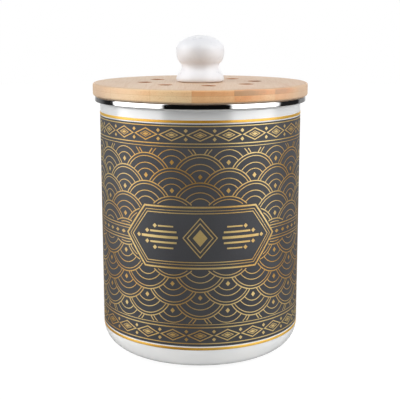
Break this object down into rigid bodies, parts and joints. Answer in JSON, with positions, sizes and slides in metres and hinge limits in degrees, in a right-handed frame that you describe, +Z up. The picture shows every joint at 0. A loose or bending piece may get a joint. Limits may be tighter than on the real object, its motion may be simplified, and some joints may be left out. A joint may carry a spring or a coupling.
{
  "type": "compost caddy",
  "caption": "Round enamelled steel canister with a stainless rim band, a vented laminated bamboo lid with a ceramic knob, and a charcoal filter tray clipped under the lid.",
  "frame": {"origin": "middle of the standing ring, on the surface that the canister stands on", "axes": "+Z up along the axis of the canister, the lid and the knob; the printed front faces -Y; the first vent lies 8 degrees from +X towards +Y"},
  "size_m": [0.17, 0.17, 0.2496],
  "materials": {
    "white_enamel": "glossy fired enamel on steel",
    "polished_stainless": "mirror-polished stainless steel",
    "bamboo": "laminated bamboo, sanded and oiled",
    "silicone": "matte translucent-white silicone",
    "ceramic_glaze": "white satin glaze",
    "black_rubber": "matte",
    "brass": "turned",
    "zinc_steel": "zinc-plated",
    "white_polypropylene": "moulded, fine satin",
    "charcoal_felt": "activated-charcoal felt"
  },
  "bodies": {
    "canister": {"canister_shell": "white_enamel", "rim_band": "polished_stainless"},
    "lid": {"lid_board": "bamboo", "plug_ring": "bamboo", "lid_seal": "silicone", "knob": "ceramic_glaze", "knob_gasket": "black_rubber", "knob_insert": "brass", "knob_screw": "zinc_steel", "knob_washer": "zinc_steel", "filter_seat": "white_polypropylene", "seat_screws": "zinc_steel"},
    "tray": {"filter_tray": "white_polypropylene", "filter_pad": "charcoal_felt"}
  },
  "joints": [
    {"name": "lid_lift", "type": "slide", "parent": "canister", "child": "lid", "axis": [0, 0, 1], "range_m": [0, 0.12]},
    {"name": "tray_pull", "type": "slide", "parent": "lid", "child": "tray", "axis": [0, 0, -1], "range_m": [0, 0.045]}
  ]
}
